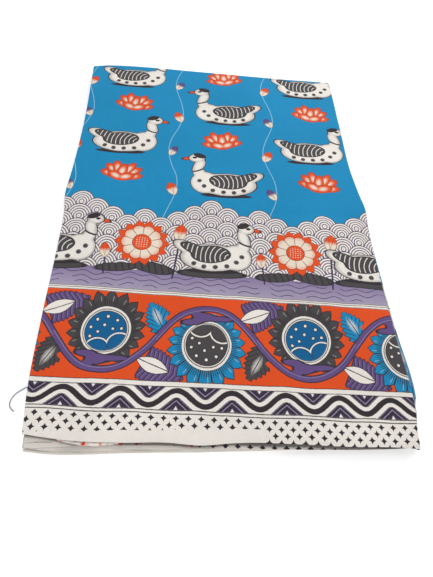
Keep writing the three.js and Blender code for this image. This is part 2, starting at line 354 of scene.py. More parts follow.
upper = Half(1, TOP_FRONT, TOP_LEFT, TOP_RIGHT, UPPER_STEP, TOP_CREASES)
lower = Half(-1, UNDER_FRONT, UNDER_LEFT, UNDER_RIGHT, LOWER_STEP, UNDER_CREASES)
middle_front = curve_through(ENDS, MIDDLE_FRONT)
back_reach = curve_through(ENDS, BACK)


def fold_line(x):
    """Where the flat run ends and the back fold begins to turn."""
    return back_reach(x) - HALF_HEIGHT


def swell(x, y):
    """How far the top swells or sinks at a place."""
    rise = 0
    for centre_x, centre_y, height, reach_x, reach_y in SWELLS:
        across = (x - centre_x) / reach_x
        along = (y - centre_y) / reach_y
        rise += height * math.exp(-across * across - along * along)
    return rise


def crease_depth(creases, x, y):
    """The depth of all the troughs at a place; each is uneven and fades at its ends."""
    total = 0
    for start_x, start_y, end_x, end_y, depth, reach in creases:
        run_x = end_x - start_x
        run_y = end_y - start_y
        length = math.hypot(run_x, run_y)
        along = ((x - start_x) * run_x + (y - start_y) * run_y) / length
        over = max(0, -along, along - length)
        off = ((x - start_x) * run_y - (y - start_y) * run_x) / length
        sway = CREASE_SWAY * math.sin(along / CREASE_LENGTH + start_x)
        distance = math.hypot(off + sway, over * CREASE_END) / reach
        if distance < CREASE_CUTOFF:
            uneven = 0.75 + 0.5 * noise.noise((x / CREASE_PATCH, y / CREASE_PATCH, start_y))
            total += depth * uneven * math.exp(-distance * distance)
    return total


def relief(half, x, y):
    """How far the outer leaf stands out from its plain level."""
    creases = crease_depth(half.creases, x, y)
    if half.side < 0:
        return -max(0, creases)
    ripple = sum(
        height * noise.noise((x / length_x, y / length_y, seed))
        for height, length_x, length_y, seed in RIPPLES
    )
    return swell(x, y) - creases + ripple


def packet_point(half, x, y, height, turn, rise):
    """Height is measured out from the middle plane, and turn is the angle round the back fold."""
    out = height * (1 + rise / HALF_HEIGHT)
    return (
        x,
        y + out * math.sin(turn),
        MIDDLE_Z + half.side * (CLEARANCE / 2 + out * math.cos(turn)),
    )


def print_place(x, y):
    """Where a point of the cloth lies in its print: along the border, and up from the selvedge."""
    from_x = x - PRINT_ORIGIN[0]
    from_y = y - PRINT_ORIGIN[1]
    along = math.cos(PRINT_TURN) * from_x + math.sin(PRINT_TURN) * from_y
    across = math.cos(PRINT_TURN) * from_y - math.sin(PRINT_TURN) * from_x
    return along, across


def stand_for(piece, node):
    """The finished piece takes its CAD node's place and moves with the root body."""
    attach(piece, "root")
    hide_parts(node)


# How a wall is thickened: away from the side that shows, or to both sides
ONE_SIDED = {"offset": -1, "use_even_offset": True, "use_quality_normals": True}
TWO_SIDED = {"offset": 0, "use_even_offset": False}


def make_piece(name, mesh, materials, node, slot, thickness, rim_material=0, **wall_settings):
    """A piece of cloth from its mesh, with its wall."""
    data = bpy.data.meshes.new(name)
    mesh.to_mesh(data)
    mesh.free()
    for material in materials:
        data.materials.append(material)
    piece = add_object(name, data)
    stand_for(piece, node)
    wall = piece.modifiers.new("wall", "SOLIDIFY")
    wall.thickness = thickness * MM
    wall.material_offset_rim = rim_material
    for setting, value in wall_settings.items():
        setattr(wall, setting, value)
    return piece


def woven_grid(columns, rows, point_at):
    """A grid shaped point by point; point_at gives a point and its place in the print."""
    mesh = bmesh.new()
    bmesh.ops.create_grid(mesh, x_segments=columns, y_segments=rows, size=1)
    places = []
    for vertex in mesh.verts:
        column = round((vertex.co.x + 1) / 2 * columns)
        row = round((vertex.co.y + 1) / 2 * rows)
        point, place = point_at(column, row)
        vertex.co = Vector(point) * MM
        places.append(place)
    mesh.verts.index_update()
    layer = mesh.loops.layers.uv.new("cloth")
    for face in mesh.faces:
        face.smooth = True
        for loop in face.loops:
            along, across = places[loop.vert.index]
            loop[layer].uv = (along * MM, across * MM)
    return mesh, layer


def outer_stations(left_steps, flat_steps, right_steps):
    """Stations across an outer leaf: share of the flat, side of a bend, angle round it."""
    upright = math.radians(90)
    stations = []
    for i in range(left_steps):
        stations.append((0, -1, lerp(math.radians(LEFT_BEND_END), upright, i / left_steps)))
    for i in range(flat_steps + 1):
        stations.append((i / flat_steps, 0, upright))
    for i in range(1, right_steps + 1):
        stations.append((1, 1, lerp(upright, math.radians(RIGHT_BEND_END), i / right_steps)))
    return stations


def length_stations(edge_steps, flat_steps, turn_steps):
    """Stations along a leaf: step back from the front edge, share of the rest, turn."""
    stations = [(step, 0, 0) for step in edge_steps]
    for i in range(1, flat_steps + 1):
        stations.append((edge_steps[-1], i / flat_steps, 0))
    for i in range(1, turn_steps + 1):
        stations.append((0, 1, math.radians(90) * i / turn_steps))
    return stations


def along_leaf(station, front, back):
    """The y and the turn of a station on a leaf that runs from front to back."""
    step, share, turn = station
    return lerp(front + step, back, share), turn


def front_roll(x, from_edge):
    """The top leaf rolls down at its front edge, more towards the right."""
    depth = lerp(FRONT_ROLL_LEFT, FRONT_ROLL_RIGHT, smoothstep(x, -120, 120))
    near = max(0, 1 - from_edge / FRONT_ROLL_REACH)
    return depth * near * near


def side_wave(seed, y):
    """The small wander of an edge or a bend along the packet."""
    return noise.noise((y / 34, seed * 3.7, 0.4)) + 0.4 * noise.noise((y / 9, seed, 5.2))


def make_outer_leaf(name, half, across, along, materials, node):
    """A leaf that shows, with its turns round the left, right and back folds."""
    def point_at(column, row):
        share, side, angle = across[column]
        run = along[row]
        guess, _ = along_leaf(run, half.front(0), fold_line(0))
        left = half.left(guess) + LEFT_BEND
        right = half.right(guess) - RIGHT_BEND
        radius = LEFT_BEND if side < 0 else RIGHT_BEND
        tangent = lerp(left, right, share)
        x = tangent + side * radius * math.cos(angle)
        height = HALF_HEIGHT - radius + radius * math.sin(angle)
        flat_x = tangent + side * radius * (math.pi / 2 - angle)
        front = half.front(x) + FRONT_WANDER * side_wave(half.side, x)
        y, turn = along_leaf(run, front, fold_line(x))
        if half.side > 0:
            height *= 1 - front_roll(x, y - front) / HALF_HEIGHT
        point = packet_point(half, x, y, height, turn, relief(half, x, y))
        flat_y = y + HALF_HEIGHT * turn
        if half.side < 0:
            flat_y = fold_line(x) * 2 + HALF_HEIGHT * math.pi - flat_y
        return point, print_place(flat_x, flat_y)

    mesh, layer = woven_grid(len(across) - 1, len(along) - 1, point_at)
    for face in mesh.faces:
        up = sum(loop[layer].uv.y for loop in face.loops) / len(face.loops) / MM
        face.material_index = bisect.bisect_right(PRINT_STARTS, up)
        if up >= FAR_BORDER_START:
            for loop in face.loops:
                loop[layer].uv.y = CLOTH_WIDTH * MM - loop[layer].uv.y
    if half.side < 0:
        bmesh.ops.reverse_faces(mesh, faces=mesh.faces)
    rim_material = len(materials) - 1
    return make_piece(
        name, mesh, materials, node, "printed_cotton", OUTER_THICKNESS, rim_material, **ONE_SIDED
    )


def leaf_level(leaf):
    """The height of an inner leaf out from the middle plane."""
    centre = HALF_HEIGHT - RIGHT_BEND
    return centre + (leaf - (LEAF_COUNT + 1) / 2) * LEAF_PITCH


def left_bend_inset(low, high):
    """How far the tangent of a left bend stands in from the packet's left side."""
    if low > LEAF_COUNT / 2:
        return LEFT_BEND
    return SMALL_BEND_INSET + (high - low) / 2 * LEAF_PITCH


def inner_stations(order, flat_steps, bend_steps):
    """Stations across the inner leaves: share of the flat, reach out of it, level, and the
    leaf, the one that follows it, and how far the bend between them has come."""
    stations = []
    rightward = True
    for leaf, following in zip(order, order[1:] + [None]):
        for i in range(flat_steps + 1):
            share = i / flat_steps if rightward else 1 - i / flat_steps
            stations.append((share, 0, leaf_level(leaf), leaf, leaf, 0))
        if following:
            centre = (leaf_level(leaf) + leaf_level(following)) / 2
            swing = leaf_level(leaf) - centre
            end, side = (1, 1) if rightward else (0, -1)
            for i in range(1, bend_steps):
                angle = math.pi * i / bend_steps
                reach = side * abs(swing) * math.sin(angle)
                level = centre + swing * math.cos(angle)
                stations.append((end, reach, level, leaf, following, i / bend_steps))
        rightward = not rightward
    return stations


def left_partner(leaf):
    """The leaves that the left bend of a leaf joins, low and high."""
    for first, total in LEFT_PAIRS:
        if leaf >= first:
            return sorted((leaf, total - leaf))
    return leaf, leaf


def make_inner_leaves(name, half, node, material):
    """The hidden leaves of a half, as one sheet that runs to and fro."""
    across = inner_stations(FOLD_ORDER, *INNER_ACROSS)
    along = length_stations(*INNER_ALONG)

    def front_of(leaf, x):
        front = half.front(x) + half.front_step(leaf_level(leaf))
        for reach, length, leaf_seed, side_seed in INNER_WANDER:
            front += reach * noise.noise((x / length, leaf * leaf_seed, half.side * side_seed))
        return front

    def point_at(column, row):
        share, reach, level, leaf, following, blend = across[column]
        run = along[row]
        guess, _ = along_leaf(run, half.front(0), fold_line(0))
        low, high = left_partner(leaf)
        wave = FRONT_WANDER * side_wave(low + 20 * half.side, guess)
        left = half.left(guess) + left_bend_inset(low, high) + max(LEAST_WAVE, wave)
        right = half.right(guess) - RIGHT_BEND
        x = lerp(left, right, share) + reach
        front = lerp(front_of(leaf, x), front_of(following, x), blend)
        y, turn = along_leaf(run, front, fold_line(x))
        hidden = smoothstep(y - front, *HIDDEN_FRONT) * smoothstep(x - left, *HIDDEN_LEFT)
        hidden *= smoothstep(right - x, *HIDDEN_RIGHT)
        height = level * (1 - HIDDEN_SAG * hidden)
        point = packet_point(half, x, y, height, turn, relief(half, x, y))
        flat_y = y + level * turn
        if half.side < 0:
            flat_y = 2 * fold_line(x) - y
        return point, print_place(x, flat_y)

    mesh, _ = woven_grid(len(across) - 1, len(along) - 1, point_at)
    bmesh.ops.recalc_face_normals(mesh, faces=mesh.faces)
    return make_piece(name, mesh, [material], node, "folded_cotton", INNER_THICKNESS, **TWO_SIDED)


def make_middle_leaf(materials):
    """The leaf at the middle plane, whose selvedge stands out at the front."""
    along = length_stations(*MIDDLE_ALONG)

    def point_at(column, row):
        run = along[row]
        guess, _ = along_leaf(run, middle_front(0), fold_line(0) - 1)
        left = max(upper.left(guess), lower.left(guess)) + MIDDLE_INSET
        right = min(upper.right(guess), lower.right(guess)) - RIGHT_BEND - 1
        x = lerp(left, right, column / MIDDLE_COLUMNS)
        front = middle_front(x) + MIDDLE_WANDER * side_wave(7, x)
        y, _ = along_leaf(run, front, fold_line(x) - 1)
        near = math.exp(-(y - front) / 4)
        lift = near * (0.25 * noise.noise((x / 30, 2.2, 0)) - 0.1)
        along_print, up_print = print_place(x, y)
        point = (x, y, MIDDLE_Z + OUTER_THICKNESS / 2 + lift)
        return point, (along_print, up_print + MIDDLE_PRINT_SHIFT)

    mesh, _ = woven_grid(MIDDLE_COLUMNS, len(along) - 1, point_at)
    return make_piece(
        "selvedge_middle", mesh, materials, "middle_leaf", "border_cotton", OUTER_THICKNESS, 1,
        **ONE_SIDED,
    )


def make_front_tuck(materials):
    """The crumpled corner, which bulges up in small waves."""
    def point_at(column, row):
        share = column / TUCK_COLUMNS
        across = row / TUCK_ROWS
        x = lerp(TUCK_START, TUCK_END, share)
        arch = math.sin(math.pi * share)
        tent = arch * math.sin(math.pi * lerp(*TUCK_TENT, across))
        crumple = TUCK_CRUMPLE * math.sin(TUCK_WAVES[0] * share + TUCK_WAVES[1] * across) * arch
        crumple += TUCK_RUFFLE * noise.noise((x / 5, across * 2.4, 1.7)) * arch
        back = upper.front(x) + TUCK_OVERLAP
        edge = back - TUCK_DEPTH * lerp(TUCK_END_SHARE, 1, arch)
        edge += TUCK_EDGE_RUFFLE * noise.noise((x / 6, 0.3, 4.1)) * arch
        y = lerp(edge, back, across)
        height = MIDDLE_Z + TUCK_LIFT + TUCK_PEAK * max(0, tent + crumple)
        return (x, y, height), (x, y)

    mesh, _ = woven_grid(TUCK_COLUMNS, TUCK_ROWS, point_at)
    return make_piece(
        "tucked_corner", mesh, materials, "front_tuck", "border_cotton", OUTER_THICKNESS, **ONE_SIDED
    )


def make_thread(material):
    curve = bpy.data.curves.new("loose_end_of_thread", "CURVE")
    curve.dimensions = "3D"
    curve.bevel_depth = THREAD_DIAMETER / 2 * MM
    curve.bevel_resolution = 3
    curve.use_fill_caps = True
    curve.resolution_u = 8
    spline = curve.splines.new("BEZIER")
    spline.bezier_points.add(len(THREAD_ROUTE) - 1)
    for point, place in zip(spline.bezier_points, THREAD_ROUTE):
        point.co = Vector(place) * MM
        point.handle_left_type = "AUTO"
        point.handle_right_type = "AUTO"
    curve.materials.append(material)
    thread = add_object("loose_end_of_thread", curve)
    stand_for(thread, "loose_thread")
    return thread


# Cotton and its print, in millimetres
SOFT = 0.24                        # half the width of a printed edge's blur
BUMP_DEPTH = 0.2
WARP_COUNT = 17.0                  # the turns of the threads' waves, in radians a millimetre
WEFT_COUNT = 15.0
PRINT_WANDER = [(0.021, 1.6), (0.45, 0.35)]  # how the print strays: noise scale, reach
COTTON_SHINE = {"Specular IOR Level": 0.14, "Sheen Weight": 0.05, "Sheen Roughness": 0.5}


def node_method(operation, swapped=False):
    """A method of Signal that adds this operation's node, on its own or with other values."""
    def act(self, *others):
        values = (*others, self) if swapped else (self, *others)
        return self.graph.maths(operation, *values)
    return act


class Signal:
    """A number, a vector or a colour on its way through a material; each step adds a node."""
    def __init__(self, graph, socket):
        self.graph = graph
        self.socket = socket

    __add__ = node_method("ADD")
    __radd__ = node_method("ADD", swapped=True)
    __sub__ = node_method("SUBTRACT")
    __rsub__ = node_method("SUBTRACT", swapped=True)
    __mul__ = node_method("MULTIPLY")
    __truediv__ = node_method("DIVIDE")
    __pow__ = node_method("POWER")
    __lt__ = node_method("LESS_THAN")
    __abs__ = node_method("ABSOLUTE")
    both = node_method("MAXIMUM")      # of two distances, inside both shapes
    at_least = both
    root = node_method("SQRT")
    sign = node_method("SIGN")
    sine = node_method("SINE")
    cosine = node_method("COSINE")
    floor = node_method("FLOOR")
    back_and_forth = node_method("PINGPONG")
    bearing = node_method("ARCTAN2")   # the angle from the other number's axis

    def scaled(self, factor, offset, clamp=False):
        return self.graph.maths("MULTIPLY_ADD", self, factor, offset, clamp=clamp)

    def ramp(self, factor, offset):
        """The number scaled and moved, and kept between 0 and 1."""
        return self.scaled(factor, offset, clamp=True)

    def wrap(self, half):
        """The number's place in a repeat that runs from -half to half."""
        return self.graph.maths("WRAP", self, half, -half)

    def odd(self):
        """1 where a whole number is odd, and 0 where it is even."""
        return self.graph.maths("WRAP", self, 2, 0)

    def inside(self, reach=0, soft=SOFT):
        """1 where the distance is below reach, fading over the soft edge."""
        return self.ramp(-0.5 / soft, 0.5 + reach / (2 * soft))

    def beyond(self, reach=0, soft=SOFT):
        """1 where the distance is above reach."""
        return self.ramp(0.5 / soft, 0.5 - reach / (2 * soft))

    def line(self, width, centre=0):
        """1 where the distance is within half the width from the centre."""
        offset = self - centre if centre else self
        return abs(offset).inside(width / 2)

    def either(self, other, blend=0):
        """The distance from the nearer of two shapes, which may flow into each other."""
        if blend:
            return self.graph.maths("SMOOTH_MIN", self, other, blend)
        return self.graph.maths("MINIMUM", self, other)

    def times(self, factor):
        values = {0: self, 3: factor}
        return self.graph.signal("ShaderNodeVectorMath", {"operation": "SCALE"}, values)

    def length(self):
        return self.graph.vector("LENGTH", self)

    def split(self):
        made = self.graph.node("ShaderNodeSeparateXYZ", {}, {0: self})
        return Signal(self.graph, made.outputs[0]), Signal(self.graph, made.outputs[1])

    def wrapped(self, half_width, half_height):
        """The vector's place in a cell that repeats both ways."""
        high = (half_width, half_height, 0)
        low = (-half_width, -half_height, 0)
        return self.graph.vector("WRAP", self, high, low)

    def mirrored(self):
        """The vector with its left side folded over onto its right."""
        x, y = self.split()
        return self.graph.join(abs(x), y)

    def placed(self, place, size=(1, 1), turn=0):
        """The vector as seen from a motif that lies at place, turned and scaled."""
        values = {0: self, 1: (*place, 0), 2: (0, 0, math.radians(turn)), 3: (*size, 1)}
        return self.graph.signal("ShaderNodeMapping", {"vector_type": "TEXTURE"}, values)

    def oval(self, place, size, turn=0):
        """Roughly the distance from an oval, below nought inside."""
        return self.placed(place, size, turn).length().scaled(min(size), -min(size))


class Graph:
    """The nodes of one material."""
    def __init__(self, name):
        self.material = bpy.data.materials.new(name)
        self.material.use_nodes = True
        self.tree = self.material.node_tree
        self.tree.nodes.clear()

    def node(self, kind, settings, values):
        made = self.tree.nodes.new(kind)
        for name, setting in settings.items():
            setattr(made, name, setting)
        for place, value in values.items():
            if isinstance(value, Signal):
                self.tree.links.new(value.socket, made.inputs[place])
            else:
                made.inputs[place].default_value = value
        return made

    def signal(self, kind, settings, values, output=0):
        return Signal(self, self.node(kind, settings, values).outputs[output])

    def maths(self, operation, *values, clamp=False):
        settings = {"operation": operation, "use_clamp": clamp}
        return self.signal("ShaderNodeMath", settings, dict(enumerate(values)))

    def vector(self, operation, *values):
        output = "Value" if operation == "LENGTH" else "Vector"
        settings = {"operation": operation}
        return self.signal("ShaderNodeVectorMath", settings, dict(enumerate(values)), output)

    def join(self, x, y):
        return self.signal("ShaderNodeCombineXYZ", {}, {0: x, 1: y})

    def mix(self, factor, first, second):
        """A colour between two colours."""
        values = {0: factor, 6: first, 7: second}
        return self.signal("ShaderNodeMix", {"data_type": "RGBA"}, values, 2)

    def blend(self, factor, first, second):
        """A number between two numbers."""
        values = {0: factor, 2: first, 3: second}
        return self.signal("ShaderNodeMix", {"data_type": "FLOAT"}, values, 0)

    def noise(self, vector, scale, detail=2, output=0):
        values = {"Vector": vector, "Scale": scale, "Detail": detail}
        return self.signal("ShaderNodeTexNoise", {}, values, output)

    def cloth_place(self):
        """The place on the cloth, in millimetres."""
        return self.signal("ShaderNodeUVMap", {"uv_map": "cloth"}, {}).times(1 / MM)

    def object_place(self):
        """The place in the packet's own frame, in millimetres."""
        return self.signal("ShaderNodeTexCoord", {}, {}, 3).times(1 / MM)

    def finish(self, values, height=None, strength=0):
        """The material with these surface values, and a bump where a height is given."""
        if height is not None:
            bump = {"Strength": strength, "Distance": BUMP_DEPTH * MM, "Height": height}
            values["Normal"] = self.signal("ShaderNodeBump", {}, bump)
        surface = self.signal("ShaderNodeBsdfPrincipled", {}, values)
        self.node("ShaderNodeOutputMaterial", {}, {"Surface": surface})
        return self.material

    def finish_cotton(self, colour, cloth):
        """Plain-weave cotton: fine threads both ways, uneven yarn, large soft patches of painted
        shade, matt with a faint sheen.
        """
        across, along = cloth.split()
        slub = self.noise(cloth, 0.09, 3)
        fine = self.noise(self.vector("MULTIPLY", cloth, (0.5, 3.0, 0)), 0.6, 2)
        weave = (across * WARP_COUNT).sine() * (along * WEFT_COUNT).sine()
        # Painted shade: large soft patches that darken or lighten the cloth's colour.
        painted_shade_patches = self.noise(cloth, 0.011, 1)
        tone = 0.79 + slub * 0.12 + fine * 0.10 + painted_shade_patches * 0.20
        values = {
            "Base Color": colour.times(weave.scaled(0.030, tone)),
            "Roughness": 0.78 + slub * 0.14,
            **COTTON_SHINE,
        }
        return self.finish(values, weave * 0.5 + fine * 0.8, 0.35)


class Print(Graph):
    """A cloth's print, drawn shape by shape over a ground, in millimetres of cloth."""
    def __init__(self, name, ground):
        super().__init__(name)
        self.cloth = self.cloth_place()
        self.place = self.cloth
        for scale, reach in PRINT_WANDER:
            push = (2 * reach, 2 * reach, 0)
            centre = (-reach, -reach, 0)
            shift = self.noise(self.cloth, scale, 1, 1)
            shift = self.vector("MULTIPLY_ADD", shift, push, centre)
            self.place = self.vector("ADD", self.place, shift)
        self.colour = ground

    def ink(self, mask, colour):
        self.colour = self.mix(mask, self.colour, colour)

    def shape(self, distance, fill, outline=INK, width=0.9):
        """A filled shape with a printed outline."""
        self.ink(distance.inside(), fill)
        self.ink(distance.line(width), outline)

    def rings(self, distance, table):
        """Fills one inside the other, from the outside in: reach and colour."""
        for reach, colour in table:
            self.ink(distance.inside(reach), colour)

    def finished(self):
        return self.finish_cotton(self.colour, self.cloth)


def round_share(angle, count):
    """The place in one of count equal parts of a turn, from -0.5 to 0.5."""
    return (angle * (count / (2 * math.pi))).wrap(0.5)


def petal_rim(cloth, radius, petal, reach, curve, point):
    """The distance from a rim of petals, each curved and drawn out to a point."""
    tip = cloth.maths("POWER", 0.0001, abs(petal)) * point
    return radius - ((petal * petal).scaled(-curve, reach) + tip)


def bowed(x, middle, curve, width):
    """The half width of a leaf that is widest at its middle."""
    along = x - middle
    return (along * along).scaled(-curve, width)


def nearest(distances):
    """The distance from the nearest of several shapes."""
    nearer = distances[0]
    for distance in distances[1:]:
        nearer = nearer.either(distance)
    return nearer


# The border's print, in millimetres up from the selvedge
STAR_PITCH = 12.25
STAR_START = -3.9
STAR_ROW = 6.6
STAR_SIZE = 2.38                   # the sum of the roots at a star's edge
STAR_ROOT = 0.62
STAR_TOP = 22.6
# Where the selvedge is bare of stars: up to this place along it, and this height
BORDER_BARE = (42, 11)
FAR_BORDER_BARE = (2, 17)
SELVEDGE_BARE = (-24, 40)
ZIGZAG_MIDDLE = 39.6
ZIGZAG_SWING = 7.5
ZIGZAG_PITCH = 55.9
ZIGZAG_START = -159.5
ZIGZAG_HEIGHT = 11.6               # from its middle to the edge of its band
ZIGZAG_WIDTH = 2.85
ZIGZAG_ROOM = 6.9                  # the bare cotton beside the wave
CHEVRON_REACH = 14.2
CHEVRON_SLOPE = 0.85
TRIANGLE_SLOPE = 1.7               # the small bare triangle at a chevron's foot
TRIANGLE_REACH = 3.6
BAY_DEPTH = 11.5
CHEVRON_LINES = [                  # width, place, colour
    (2.2, 6.2, INK),
    (0.9, 9.0, PALE_VIOLET),
    (0.6, 13.0, PALE_VIOLET),
    (2.6, 11.6, INK),
]
STAR_RULES = 25.9                  # between the two thin lines beside the stars
RULE_MIDDLE = 53.7
VINE_MIDDLE = 104.9
VINE_PITCH = 109.8
VINE_START = -130
VINE_LEAVES = 56                   # from a flower head to the leaves past it
VINE_SWING = 38.6
VINE_WIDTH = 7.0
STEM_WAVE = (-0.2, 1.2)            # how the stem's wave is rounded, and its slope
STEM_SLOPE = (-0.6, 1.2)
MEDALLION_LIFT = 3.8               # how far a flower head stands out from the middle line
WATER_RULE = 159.6
BORDER_STRETCH = 0.00011           # the stars and the wave spread towards the border's ends
POND_LEAN = 0.018

STAIN_PATCHES = [(-106, 12), (-83, 4), (-40, 14)]  # place along the border, reach

# Flower heads on the vine. Rings, from the outside in: radius, colour. Rows of dots: how
# many, radius, spread, start. The two lobes' arcs: radius, colour
PETAL_COUNT = 19
PETAL_ROOT = 27.5
HEAD_RINGS = [(28.2, INK), (27.6, COTTON), (25.45, INK), (24.55, COTTON), (23.6, INK)]
HEART_RADIUS = 22.8
DOT_ROWS = [(10, 17.6, 10.5, 0), (5, 8.6, 11.0, 0.2)]
LOBE_TURN = 16
LOBE_CENTRE = (12.0, -17.5)
LOBE_ARCS = [(14.8, INK), (14.1, COTTON)]
LOBE_RADIUS = 12.5
LOBE_LINE = (0.5, 11.4)            # width, radius

# The cup under a flower head. Gaps of bare ground, then parts: centre, size, turn
CUP_GAPS = [((-30, -31.5), (17, 5.5), -14), ((6, -39.5), (22, 3.4), 11)]
CUP_HORN = ((-17, -25), (12, 4), -4)
CUP_HEEL = ((-13, -36), (9, 4.5), 25)
CUP_HEART = ((-5, -31.5), (12, 6))
CUP_TAIL = ((11, -30), (20, 3.6), 1)

# Side leaves: their middles, turns, half widths and half lengths
TOOTHED_PLACE = (-3.5, 28.5)
TOOTHED_TURN = 118
TOOTHED_WIDTH = 15.6
TOOTHED_REACH = 20.5
TOOTH_PITCH = 2.7
SCALLOPED_PLACE = (6, -35.5)
SCALLOPED_TURN = -23
SCALLOPED_WIDTH = 17.6
SCALLOPED_REACH = 23
SCALLOP_TURNS = 0.66               # radians of the scallops' wave a millimetre


def draw_stars(cloth, u, w, bare_reach, bare_height):
    half_pitch = STAR_PITCH / 2
    from_start = cloth.join(u - STAR_START, w)
    cell = from_start.wrapped(half_pitch, STAR_ROW)
    x, y = cloth.vector("ABSOLUTE", cell).split()
    first = x ** STAR_ROOT + y ** STAR_ROOT
    second = (half_pitch - x) ** STAR_ROOT + (STAR_ROW - y) ** STAR_ROOT
    star = first.either(second).inside(STAR_SIZE, 0.05)
    printed = (w - u * 0.05).beyond(bare_height).both(u.beyond(bare_reach))
    cloth.ink(star * printed * w.inside(STAR_TOP), INK)


def draw_zigzag(cloth, u, w):
    swing = ((u - ZIGZAG_START) * (2 * math.pi / ZIGZAG_PITCH)).cosine()
    lift = w - swing.scaled(ZIGZAG_SWING, ZIGZAG_MIDDLE)
    slope = (swing * swing).scaled(0.235, 0.765)
    distance = abs(lift * slope)
    side = lift.sign()
    bay_start = u - ZIGZAG_START - side * (ZIGZAG_PITCH / 4) - ZIGZAG_PITCH / 4
    bay = bay_start.wrap(ZIGZAG_PITCH / 2)
    depth = side * (ZIGZAG_MIDDLE - w) + BAY_DEPTH
    chevron = abs(bay) * CHEVRON_SLOPE + depth
    zone = abs(w - ZIGZAG_MIDDLE).inside(ZIGZAG_HEIGHT)
    filled = zone * chevron.inside(CHEVRON_REACH)
    cloth.ink(filled, DARK_VIOLET)
    for width, place, colour in CHEVRON_LINES:
        cloth.ink(filled * chevron.line(width, place), colour)
    cloth.ink(zone * (abs(bay) * TRIANGLE_SLOPE + depth).inside(TRIANGLE_REACH), COTTON)
    cloth.ink(zone * distance.inside(ZIGZAG_ROOM), COTTON)
    cloth.ink(distance.inside(ZIGZAG_WIDTH), INK)


def draw_rules(cloth, w):
    cloth.ink(abs(w - STAR_RULES).line(1.0, 1.6), INK)
    cloth.rings(abs(w - RULE_MIDDLE), [(3.0, INK), (2.2, COTTON)])


def leaning(u, w):
    """The height up from the pond's own line, which runs a little off the border's."""
    return w + u * POND_LEAN


def draw_water_rule(cloth, w):
    """A white band with dark edges."""
    rule = abs(w - WATER_RULE)
    cloth.ink(rule.inside(2.9), COTTON)
    cloth.ink(rule.line(0.7, 2.5), INK)
    cloth.ink(w.line(0.7, WATER_RULE + 0.3), INK)


def draw_water(cloth, u, w):
    """Pale violet water, deeper towards the bank, with wandering ripples."""
    shore = w.ramp(0.03, -4.9)
    water = cloth.mix(shore, PALE_VIOLET, MIDDLE_VIOLET)
    brink = w + (u * 0.09).sine() * 1.6
    cloth.ink(w.beyond(WATER_RULE) * brink.inside(WATER_EDGE), water)
    ripple = (u * 0.235).sine() * 1.9 + (u * 0.083 + 1).sine() * 1.6
    lines = (w + ripple - 1.5).wrap(RIPPLE_PITCH / 2)
    broken = cloth.noise(cloth.place, 0.035, 1).beyond(0.42, 0.02)
    below = w.inside(WATER_EDGE - 1) * w.beyond(WATER_RULE + 6)
    cloth.ink(lines.line(0.9) * broken * below, DARK_VIOLET)


def vine_cell(u, w, start):
    """The glide-mirrored cells of the vine: along, out from its middle, and the side."""
    from_start = u - (start - VINE_PITCH / 2)
    index = (from_start / VINE_PITCH).floor()
    along = from_start - index * VINE_PITCH - VINE_PITCH / 2
    odd = index.odd()
    side = odd.scaled(-2, 1)
    return along, side * (w - VINE_MIDDLE), odd


def stem_distance(along, out):
    """The distance from the middle of the vine's stem, below nought under it."""
    angle = along * (math.pi / VINE_PITCH)
    wave = angle.cosine()
    rise = out + wave * (wave * wave).scaled(*STEM_WAVE) * VINE_SWING
    slope = (wave * wave).scaled(*STEM_SLOPE) * angle.sine()
    steep = slope * (VINE_SWING * math.pi / VINE_PITCH)
    return rise / steep.scaled(steep, 1).root()


def draw_medallion(cloth, place, odd):
    """A round flower head: pointed petals, white rings, a dotted heart and two lobes."""
    x, y = place.split()
    radius = cloth.join(x * 1.05, y).length() * y.scaled(-0.0030, 0.985)
    angle = x.bearing(y)
    petal = round_share(angle, PETAL_COUNT)
    rim = petal_rim(cloth, radius, petal, 41.4, 19.0, 2.6)
    cloth.shape(rim, cloth.mix(odd, GREY, BLUE), INK, 1.2)
    band = rim.inside() * radius.beyond(PETAL_ROOT)
    cloth.ink(band * abs(petal).beyond(0.44, 0.02), INK)
    hatch = abs((petal * 5).wrap(0.5)).beyond(0.31, 0.06)
    cloth.ink(band * radius.inside(34.0, 1.8) * hatch, INK)
    shine = abs(petal - 0.2).inside(0.03, 0.02) * abs(radius - 35.5).inside(2.4)
    cloth.ink(band * shine * 0.35, COTTON)
    heart = cloth.mix(odd, DEEP_BLUE, GREY)
    cloth.rings(radius, HEAD_RINGS + [(HEART_RADIUS, heart)])
    dots = nearest([
        cloth.join((angle * (count / (2 * math.pi)) + start).wrap(0.5) * spread, radius - row).length()
        for count, row, spread, start in DOT_ROWS
    ])
    cloth.rings(dots, [(2.3, INK), (1.4, COTTON)])
    lean_x, lean_y = place.placed((0, 0), (1, 1), LOBE_TURN).split()
    arc = cloth.join(abs(lean_x) - LOBE_CENTRE[0], lean_y - LOBE_CENTRE[1]).length()
    within = radius.inside(HEART_RADIUS)
    for reach, colour in LOBE_ARCS + [(LOBE_RADIUS, heart)]:
        cloth.ink(within * arc.inside(reach), colour)
    cloth.ink(within * arc.line(*LOBE_LINE), INK)


def draw_stem(cloth, place, distance):
    """The stem, and where it widens into a cup that holds the flower head."""
    cloth.ink(nearest([place.oval(*gap) for gap in CUP_GAPS]).inside(), ORANGE)
    back = place.oval(*CUP_HORN).either(place.oval(*CUP_HEART), 3)
    front = place.oval(*CUP_TAIL).either(place.oval(*CUP_HEEL), 2)
    whole = back.either(front, 2).either(abs(distance) - VINE_WIDTH / 2, 1)
    cloth.shape(whole, VIOLET, INK, 1.1)
    cloth.ink(distance.line(0.6, 1.6) * 0.7, PALE_VIOLET)


